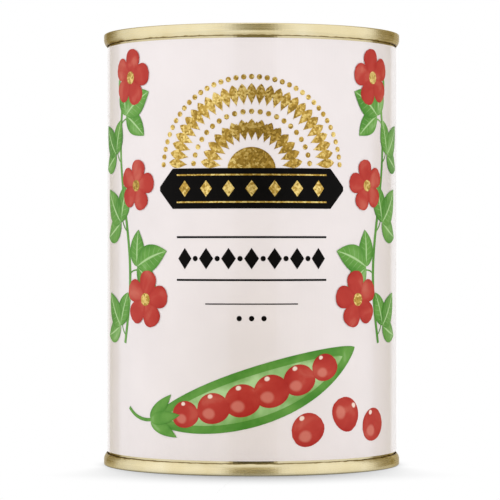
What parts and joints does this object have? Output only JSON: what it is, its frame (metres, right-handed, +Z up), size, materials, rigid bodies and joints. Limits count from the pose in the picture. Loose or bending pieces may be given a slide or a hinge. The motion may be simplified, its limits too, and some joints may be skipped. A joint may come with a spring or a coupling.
{
  "type": "canned beans",
  "caption": "Sealed round tin of beans with gold-lacquered double-seamed ends and a printed off-white paper label, standing upright.",
  "frame": {"origin": "centre of the circle that the can stands on, at the foot of the lower seam", "axes": "+Z up along the can's axis, -Y out of the front of the label, +X to the right of someone who faces it"},
  "size_m": [0.0754, 0.0754, 0.1095],
  "materials": {
    "gold_lacquer": "gloss",
    "label_paper": "satin"
  },
  "bodies": {
    "root": {"can_body": "gold_lacquer", "top_end": "gold_lacquer", "bottom_end": "gold_lacquer", "paper_label": "label_paper"}
  },
  "joints": []
}
